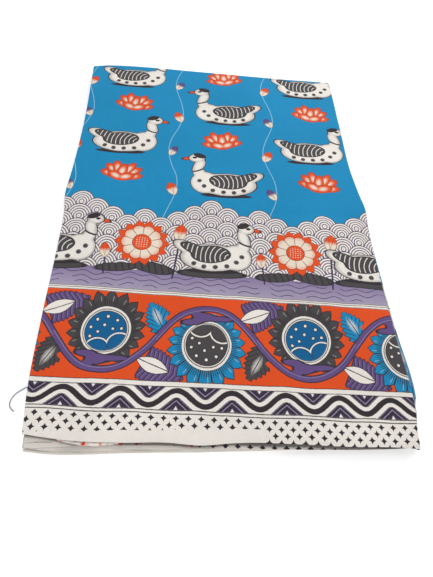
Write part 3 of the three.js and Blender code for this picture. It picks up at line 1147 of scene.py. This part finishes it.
def draw_toothed_leaf(cloth, place, odd):
    """A broad leaf with a toothed edge, pale along its middle."""
    x, y = place.placed(TOOTHED_PLACE, (1, 1), TOOTHED_TURN).split()
    teeth = (x * 0.8 - abs(y) * 0.55).back_and_forth(TOOTH_PITCH)
    width = bowed(x, -9, 0.0195, TOOTHED_WIDTH)
    edge = (abs(y) - width + teeth * 1.25).both(abs(x) - TOOTHED_REACH)
    cloth.shape(edge, cloth.mix(odd, BLUE, GREY), INK, 1.1)
    blade = edge.inside(-0.7)
    pale = (abs(y) - bowed(x, -3, 0.03, 0)).inside(3.0, 2.6)
    cloth.ink(blade * pale * 0.8, COTTON)
    vein = (x * 0.8 - abs(y) * 0.9).wrap(TOOTH_PITCH)
    cloth.ink(blade * vein.line(0.9) * abs(y).beyond(4.0, 1.2), INK)
    cloth.ink(blade * y.line(1.1) * x.inside(8), INK)


def draw_scalloped_leaf(cloth, place):
    """A pale leaf with a deep scalloped violet edge."""
    x, y = place.placed(SCALLOPED_PLACE, (1, 1), SCALLOPED_TURN).split()
    wave = x * SCALLOP_TURNS + abs(y) * 0.2
    width = bowed(x, -12, 0.0125, SCALLOPED_WIDTH)
    edge = (abs(y) - width - abs(wave.sine()) * 1.9).both(abs(x - 3.5) - SCALLOPED_REACH)
    cloth.shape(edge, VIOLET, INK, 1.1)
    fringe = wave.wrap(math.pi / 2)
    cloth.ink(edge.inside(-0.6) * fringe.line(0.65), INK)
    fleck = fringe.line(0.24, 0.9) * (abs(y) - width).inside(-1.5)
    cloth.ink(edge.inside(-0.8) * fleck * 0.7, PALE_VIOLET)
    pale = abs(y) - bowed(x, -9, 0.0245, 8.4)
    cloth.shape(pale, COTTON, INK, 0.9)
    cloth.ink(pale.inside(-0.5) * (y - 0.6).line(1.1), INK)


def draw_stains_and_painted_shade(cloth, u, w):
    """Strayed orange ink, with painted shade along fold lines and a painted shadow under the upper
    half's edge.
    """
    near = nearest([abs(u - place) / reach for place, reach in STAIN_PATCHES])
    blots = cloth.noise(cloth.place, 0.28, 3)
    cloth.ink(near.inside(1, 0.2) * blots.beyond(0.52, 0.03), ORANGE)
    # Painted shadow: a dark band just under the upper half's front edge.
    edge = (u * -1 - 145).at_least(0) * 0.1 + 17.3
    edge = edge + u.ramp(0.025, 0.75) * 4.8
    cloth.ink((w - edge).beyond(-1.4, 1.0) * 0.75, INK)
    # Painted shade: thin grey lines where the leaf is folded.
    wave = (u * 0.085).sine() * 1.1
    painted_fold_shade = abs(w - 15.4 + wave).either(abs(w - u * 0.03 - 15.8 - wave))
    uneven = cloth.noise(cloth.place, 0.06, 2)
    cloth.ink(painted_fold_shade.inside(0.35) * uneven.beyond(0.46, 0.08) * 0.7, GREY)


def border_print(name, bare_reach, bare_height, far_ground=None, stained_and_shaded=False):
    """Stars, rules and zigzag; then the vine on orange, or a plain ground for a far border."""
    cloth = Print(name, COTTON)
    u, w = cloth.place.split()
    stretched = u + u * u * BORDER_STRETCH
    cloth.ink(w.beyond(RULE_MIDDLE), far_ground or ORANGE)
    if not far_ground:
        along, out, odd = vine_cell(u, w, VINE_START + VINE_LEAVES)
        leaf_place = cloth.join(along, out)
        draw_toothed_leaf(cloth, leaf_place, odd)
        draw_scalloped_leaf(cloth, leaf_place)
        along, out, odd = vine_cell(u, w, VINE_START)
        place = cloth.join(along, out - MEDALLION_LIFT)
        draw_medallion(cloth, place, odd)
        draw_stem(cloth, place, stem_distance(along, out))
        cloth.ink(w.inside(RULE_MIDDLE), COTTON)
    draw_stars(cloth, stretched, w, bare_reach, bare_height)
    draw_zigzag(cloth, stretched, w)
    draw_rules(cloth, w)
    # Orange stains, with painted fold shade and a painted shadow under the upper half's edge.
    if stained_and_shaded:
        draw_stains_and_painted_shade(cloth, u, w)
    if not far_ground:
        draw_water(cloth, u, leaning(u, w))
        draw_water_rule(cloth, leaning(u, w))
    return cloth.finished()


# Swan: centre, size and turn of each part of its body, and the places of the breast's dots
SWAN_BODY = ((8, -12), (40, 20))
SWAN_PARTS = [
    ((-22, -10), (19, 19), 0),
    ((42, 2), (17, 8), 26),
    ((-30, 6), (8, 15), 26),
    ((-31, 22), (6.8, 12), -22),
    ((-35, 36), (10.5, 7.8), 6),
]
SWAN_SHADOW = ((8, -32), (34, 3.8))
SWAN_BEAK = ((-47, 34), (8, 3), 10)
SWAN_CREST = ((-31, 41), (9, 4.6), -16)
SWAN_EYE = ((-38, 36.5), (1.6, 1))
SWAN_WING = ((10, -7), (25, 13), -4)
SWAN_WING_TIP = ((32, 0), (18, 7), 24)
SWAN_SPOTS = [(-29, -8), (-22, -17), (-10, -24), (4, -26), (18, -26), (31, -22)]

# Lotus: centre, size and turn of each petal at its right
LOTUS_PETALS = [
    ((14, -3), (12.5, 5.6), 14),
    ((12, 4.5), (13, 6.2), 38),
    ((6.5, 8), (13.5, 6.2), 66),
    ((0, 4), (6.4, 13.0), 0),
    ((6, -5), (11.5, 6.4), 24),
]


def draw_swan(cloth, place):
    """A resting swan seen from the side, with a dark wing and a dotted breast; about 100 long."""
    cloth.ink(place.oval(*SWAN_SHADOW).inside(), INK)
    cloth.shape(place.oval(*SWAN_BEAK), ORANGE, INK, 0.9)
    body = place.oval(*SWAN_BODY)
    for part in SWAN_PARTS:
        body = body.either(place.oval(*part), 3)
    inner = body.inside()
    cloth.ink(body.inside(1.0), INK)
    cloth.ink(inner, COTTON)
    cloth.ink(abs(body + 0.6).inside(1.4, 1.2) * inner * 0.35, GREY)
    cloth.ink(place.oval(*SWAN_CREST).inside(), INK)
    cloth.ink(place.placed(*SWAN_EYE).length().inside(2.0), INK)
    neckband = place.placed((-44, 40)).length().line(2.6, 31)
    cloth.ink(inner * neckband * place.split()[0].inside(-16), INK)
    wing = place.oval(*SWAN_WING).either(place.oval(*SWAN_WING_TIP), 4)
    cloth.shape(wing, GREY, INK, 1.0)
    feathers = place.placed((-14, -12)).length().wrap(3.1)
    cloth.ink(wing.inside(-1.2) * feathers.line(1.1), COTTON)
    spots = nearest([place.placed(spot).length() for spot in SWAN_SPOTS])
    cloth.ink(spots.inside(3.2, 0.6) * inner, GREY)


def draw_lotus(cloth, place):
    """An open lotus seen from the side, about 44 wide."""
    half = place.mirrored()
    for centre, size, turn in LOTUS_PETALS:
        reach = half.placed(centre, size, turn).length()
        distance = reach.scaled(min(size), -min(size))
        blush = reach.ramp(2.0, -0.35)
        cloth.ink(distance.inside(), cloth.mix(blush, CREAM, ORANGE))
        cloth.ink(distance.line(0.7) * 0.8, RUST)


def draw_bud(cloth, place, tint=ORANGE, line=RUST):
    """A small bud, pale at its base and tinted at its tip, about 20 long."""
    half = place.mirrored()
    body = half.oval((-4.5, 0), (10.5, 11.5))
    x, y = half.split()
    tip = y.ramp(0.22, 0.45)
    cloth.ink(body.inside(), cloth.mix(tip, CREAM, tint))
    cloth.ink(body.line(0.7) * 0.7, line)
    cloth.ink(body.inside() * (x - y * 0.2).line(0.6, 1.4) * 0.6, line)


# The field's print: swans and lotuses in turn up each column, with budding stalks between
FIELD_PITCH = 135
FIELD_STEP = 145
FIELD_COLUMN = -10
FIELD_SWAN = 346
FIELD_LOTUS = 416
FIELD_BUD = 384
STALK_SWAY = 8


def field_cell(cloth, u, w, across, up):
    """A motif's place in the half-drop repeat; it faces the other way in every other column.

    A motif that would stand below the field's edge is moved out of its cell."""
    from_column = u - across
    column = (from_column / FIELD_PITCH + 0.5).floor()
    odd = column.odd()
    x = (from_column - column * FIELD_PITCH) * odd.scaled(-2, 1)
    drop = FIELD_STEP / 2
    y = (w - up - odd * drop).wrap(drop)
    away = ((w - y) < POND_END) * FIELD_PITCH
    return cloth.join(x + away, y)


def draw_stalks(cloth, u, w):
    """Thin pale stalks that sway up the cloth between the columns."""
    half = FIELD_PITCH / 2
    sway = (w * (2 * math.pi / FIELD_STEP)).sine() * STALK_SWAY
    stalk = (u - FIELD_COLUMN - half - sway).wrap(half)
    cloth.ink(stalk.line(1.0), PALE_BLUE)


def field_print():
    """Swans, lotuses and budding stalks in a half-drop repeat on blue."""
    cloth = Print("printed_field_cotton", BLUE)
    u, w = cloth.place.split()
    draw_stalks(cloth, u, w)
    half = FIELD_PITCH / 2
    stalk = FIELD_COLUMN + half
    bud = field_cell(cloth, u, w, stalk, FIELD_BUD)
    draw_bud(cloth, bud.placed((-2.3, 9), (1.1, 1.1), -24))
    bud = field_cell(cloth, u, w, stalk, FIELD_BUD + FIELD_STEP / 2)
    draw_bud(cloth, bud.placed((1.4, 8.7), (1, 1), 30), VIOLET, INK)
    lotus = field_cell(cloth, u, w, FIELD_COLUMN, FIELD_LOTUS)
    draw_lotus(cloth, lotus.placed((0, 0), (1.1, 1.1), 8))
    draw_swan(cloth, field_cell(cloth, u, w, FIELD_COLUMN, FIELD_SWAN))
    draw_scales(cloth, u, leaning(u, w))
    return cloth.finished()


# The pond's print: a bank of wave scales, with round flowers and swans in turn before it
SCALE_PITCH = 42
SCALE_ROW = 11.4
SCALE_RADIUS = 16.3
SCALE_SQUEEZE = 0.85               # a scale is taller than it is wide
SCALE_START = 183.4
BANK_TOP = 278
BANK_SWING = 9
POND_PITCH = 190
ROUND_FLOWER = -105
FLOWER_LIFT = 229
SWAN_LIFT = 225
WATER_EDGE = 189
RIPPLE_PITCH = 7.2
STALK_ROOT = 180
POND_STALKS = [(41, 0.08, 2.2, 238), (-40, -0.06, 2.0, 206)]  # root, lean, width, top
POND_BUDS = [((46, 247), (1.3, 1.3), -8), ((-43, 214), (1, 1), 4)]
LILY_LEAVES = [((17, 193), (25, 7.5), -8), ((-26, 191), (24, 6), 5)]
SWAN_PAD = ((8, 190), (40, 6))


def draw_scales(cloth, u, w):
    """Rows of round scales, each row over the one above, ending in a mounded skyline."""
    row = ((w - SCALE_START) / SCALE_ROW).floor()
    rise = (w - SCALE_START - row * SCALE_ROW) * SCALE_SQUEEZE
    step = SCALE_ROW * SCALE_SQUEEZE
    odd = row.odd()
    half = SCALE_PITCH / 2
    here = (u + odd * half).wrap(half)
    beside = (u + odd * half + half).wrap(half)
    own = cloth.join(here, rise).length()
    front = cloth.join(beside, rise + step).length()
    back = cloth.join(beside, step - rise).length()

    def stands(offset, lift):
        """1 where the scale's own centre lies under the skyline."""
        centre = (u - offset - ROUND_FLOWER) * (2 * math.pi / POND_PITCH)
        skyline = centre.cosine().scaled(-BANK_SWING, BANK_TOP)
        return (row * SCALE_ROW + (SCALE_START + lift)) < skyline

    back_there = stands(beside, SCALE_ROW) * (back < SCALE_RADIUS)
    own_there = stands(here, 0) * (own < SCALE_RADIUS)
    front_there = stands(beside, -SCALE_ROW) * (front < SCALE_RADIUS)
    reach = cloth.blend(own_there, back, own)
    reach = cloth.blend(front_there, reach, front)
    covered = back_there.both(own_there.both(front_there))
    ring = (reach + 0.1).wrap(1.6)
    cloth.ink(covered, COTTON)
    cloth.ink(covered * ring.line(1.25), SCALE_VIOLET)
    cloth.ink(covered * reach.beyond(SCALE_RADIUS - 0.9), DARK_VIOLET)


def draw_round_flower(cloth, place):
    """A round flower with two rows of petals and a dotted heart, about 63 across."""
    x, y = place.split()
    radius = place.length()
    angle = y.bearing(x)
    rim = petal_rim(cloth, radius, round_share(angle, 14), 31.5, 18, 2.4)
    cloth.shape(rim, ORANGE, RUST, 0.8)
    inner = round_share(angle, 10)
    rim = radius - (inner * inner).scaled(-13, 25.5)
    cloth.shape(rim, CREAM, RUST, 0.9)
    cloth.ink(rim.inside() * radius.beyond(22, 2.5) * 0.45, ORANGE)
    cloth.ink(rim.inside() * abs(inner).beyond(0.465, 0.02), RUST)
    cloth.shape(radius - 11.5, ORANGE, RUST, 0.8)
    dot = place.wrapped(1.6, 1.6).length().inside(0.7)
    cloth.ink(dot * radius.inside(9), CREAM)


def draw_pond_plants(cloth, x, w):
    """A bud on its stalk at each side of the flower, and lily leaves on the water below it."""
    place = cloth.join(x, w)
    for root, lean, width, top in POND_STALKS:
        stalk = x - root - (w - STALK_ROOT) * lean
        cloth.ink(stalk.line(width) * w.inside(top) * w.beyond(STALK_ROOT), DARK_VIOLET)
    for bud in POND_BUDS:
        draw_bud(cloth, place.placed(*bud))
    leaves = nearest([place.oval(*leaf) for leaf in LILY_LEAVES])
    cloth.shape(leaves, GREY, INK, 1.0)
    rays = (x * 0.8 + w * 0.25).sine()
    cloth.ink(leaves.inside(-0.6) * rays.beyond(0.8, 0.15), INK)


def pond_print():
    """Round flowers and swans in turn on pale violet water, before a bank of wave scales."""
    cloth = Print("printed_pond_cotton", BLUE)
    u, w = cloth.place.split()
    draw_stalks(cloth, u, w)
    w = leaning(u, w)
    draw_scales(cloth, u, w)
    draw_water(cloth, u, w)
    half = POND_PITCH / 2
    x = (u - ROUND_FLOWER).wrap(half)
    draw_pond_plants(cloth, x, w)
    draw_round_flower(cloth, cloth.join(x, w).placed((0, FLOWER_LIFT)))
    beside = (u - ROUND_FLOWER - half).wrap(half)
    place = cloth.join(beside * -1, w)
    cloth.shape(place.oval(*SWAN_PAD), GREY, INK, 1.0)
    draw_swan(cloth, place.placed((0, SWAN_LIFT), (0.97, 0.97)))
    return cloth.finished()


# The inner leaves' colours, each from its height up from the selvedge
FOLDED_BANDS = [
    (30, DARK_VIOLET),
    (52, COTTON),
    (57, ORANGE),
    (157, COTTON),
    (163, PALE_VIOLET),
    (190, COTTON),
    (290, BLUE),
    (1123, COTTON),
    (1128, DARK_VIOLET),
    (1150, COTTON),
]


def folded_print():
    """The inner leaves: the print's colours in bands, faded, on cotton, with painted shadow lines
    between the leaves at the front.
    """
    graph = Graph("folded_cotton_leaves")
    cloth = graph.cloth_place()
    _, w = cloth.split()
    colour = COTTON
    for start, band in FOLDED_BANDS:
        step = w.ramp(0.5, 0.5 - start * 0.5)
        colour = graph.mix(step, colour, band)
    patches = graph.noise(cloth, 0.05, 2)
    pale = patches.ramp(4.0, -1.6)
    colour = graph.mix(pale * 0.75, colour, COTTON)
    # Painted shadow: dark grey lines in the gaps between the leaves, only along the packet's front.
    place = graph.object_place()
    _, y = place.split()
    front = y.ramp(-0.5, -143)
    painted_gap_shadows = graph.noise(graph.vector("MULTIPLY", place, (0.012, 0.012, 1.3)), 1.0, 2)
    dark = painted_gap_shadows.ramp(7, -3.7)
    colour = graph.mix(front * dark * 0.6, colour, GREY)
    return graph.finish_cotton(colour, cloth)


def plain_cotton():
    graph = Graph("plain_cotton_edge")
    cloth = graph.cloth_place()
    stain = graph.noise(cloth, 0.03, 2)
    colour = graph.mix(stain * 0.3, COTTON, CREAM)
    return graph.finish_cotton(colour, cloth)


def stained_cotton():
    """Cotton with orange ink that has strayed over its edge."""
    graph = Graph("stained_cotton")
    cloth = graph.cloth_place()
    blots = graph.noise(cloth, 0.11, 3)
    red = blots.ramp(9, -4.9)
    colour = graph.mix(red, COTTON, ORANGE)
    streaks = graph.noise(graph.vector("MULTIPLY", cloth, (1, 3, 1)), 0.2, 2)
    dark = streaks.ramp(8, -5.0)
    colour = graph.mix(dark, colour, INK)
    return graph.finish_cotton(colour, cloth)


def thread_material():
    """Two grey yarns twisted together."""
    graph = Graph("twisted_thread")
    place = graph.object_place()
    x, y = place.split()
    twist = ((x + y) * 4.4).sine()
    colour = graph.mix(twist.scaled(0.3, 0.4), THREAD_GREY, PALE_GREY)
    values = {"Base Color": colour, "Roughness": 0.8, "Sheen Weight": 0.2}
    return graph.finish(values, twist * 0.5 + graph.noise(place, 2.2, 2), 0.5)


# The studio, in metres and watts
TABLE_REACH = 6
TABLE_DROP = 0.2                   # in millimetres
SKY_STRENGTH = 0.45
LIGHTS = [                         # name, place, aim, size, power
    ("window", (0.75, 1.15, 0.85), (0, 0, 0), 0.9, 12.5),
    ("lamp", (0.02, 0.15, 1.0), (0.02, 0, 0), 0.6, 1.7),
    ("fill", (-0.5, -1.3, 0.7), (0, 0, 0), 1.2, 7),
]


def make_floor():
    """The table, a little below the packet so that the two don't share a face."""
    mesh = bmesh.new()
    bmesh.ops.create_grid(mesh, x_segments=2, y_segments=2, size=TABLE_REACH)
    bmesh.ops.translate(mesh, verts=mesh.verts, vec=(0, 0, -TABLE_DROP * MM))
    data = bpy.data.meshes.new("table_top")
    mesh.to_mesh(data)
    mesh.free()
    floor = add_object("table_top", data)
    values = {
        "Base Color": srgb(252, 252, 252),
        "Roughness": 0.9,
        "Specular IOR Level": 0.1,
        "Emission Color": srgb(255, 255, 255),
        "Emission Strength": 0.35,
    }
    data.materials.append(Graph("pale_table").finish(values))


def make_light(name, place, aim, size, power):
    lamp = bpy.data.lights.new(name, "AREA")
    lamp.shape = "SQUARE"
    lamp.size = size
    lamp.energy = power
    light = add_object(name, lamp)
    light.location = place
    light.rotation_euler = (Vector(aim) - Vector(place)).to_track_quat("-Z", "Y").to_euler()


def make_studio():
    world = bpy.data.worlds.new("studio")
    bpy.context.scene.world = world
    world.use_nodes = True
    sky = world.node_tree.nodes["Background"]
    sky.inputs["Color"].default_value = (1, 1, 1, 1)
    sky.inputs["Strength"].default_value = SKY_STRENGTH
    for row in LIGHTS:
        make_light(*row)
    bpy.context.scene.view_settings.view_transform = "Standard"


make_camera()
thread = make_thread(thread_material())

edge_cotton = plain_cotton()
leaf_materials = [
    border_print("printed_border_cotton", *BORDER_BARE),
    pond_print(),
    field_print(),
    border_print("printed_far_border_cotton", *FAR_BORDER_BARE, BLUE),
    edge_cotton,
]
top_across = outer_stations(*TOP_ACROSS)
top_along = length_stations(*TOP_ALONG)
top = make_outer_leaf("top_leaf_cloth", upper, top_across, top_along, leaf_materials, "top_leaf")
under_across = outer_stations(*UNDER_ACROSS)
under_along = length_stations(*UNDER_ALONG)
under = make_outer_leaf(
    "under_leaf_cloth", lower, under_across, under_along, leaf_materials, "under_leaf"
)
folded = folded_print()
upper_leaves = make_inner_leaves("upper_inner_leaves", upper, "upper_layers", folded)
lower_leaves = make_inner_leaves("lower_inner_leaves", lower, "lower_layers", folded)
# The middle leaf's selvedge print, with stains, painted fold shade and a painted shadow under the
# upper half.
selvedge = border_print("printed_selvedge_cotton", *SELVEDGE_BARE, stained_and_shaded=True)
middle = make_middle_leaf([selvedge, edge_cotton])
tuck = make_front_tuck([stained_cotton()])

make_floor()
make_studio()
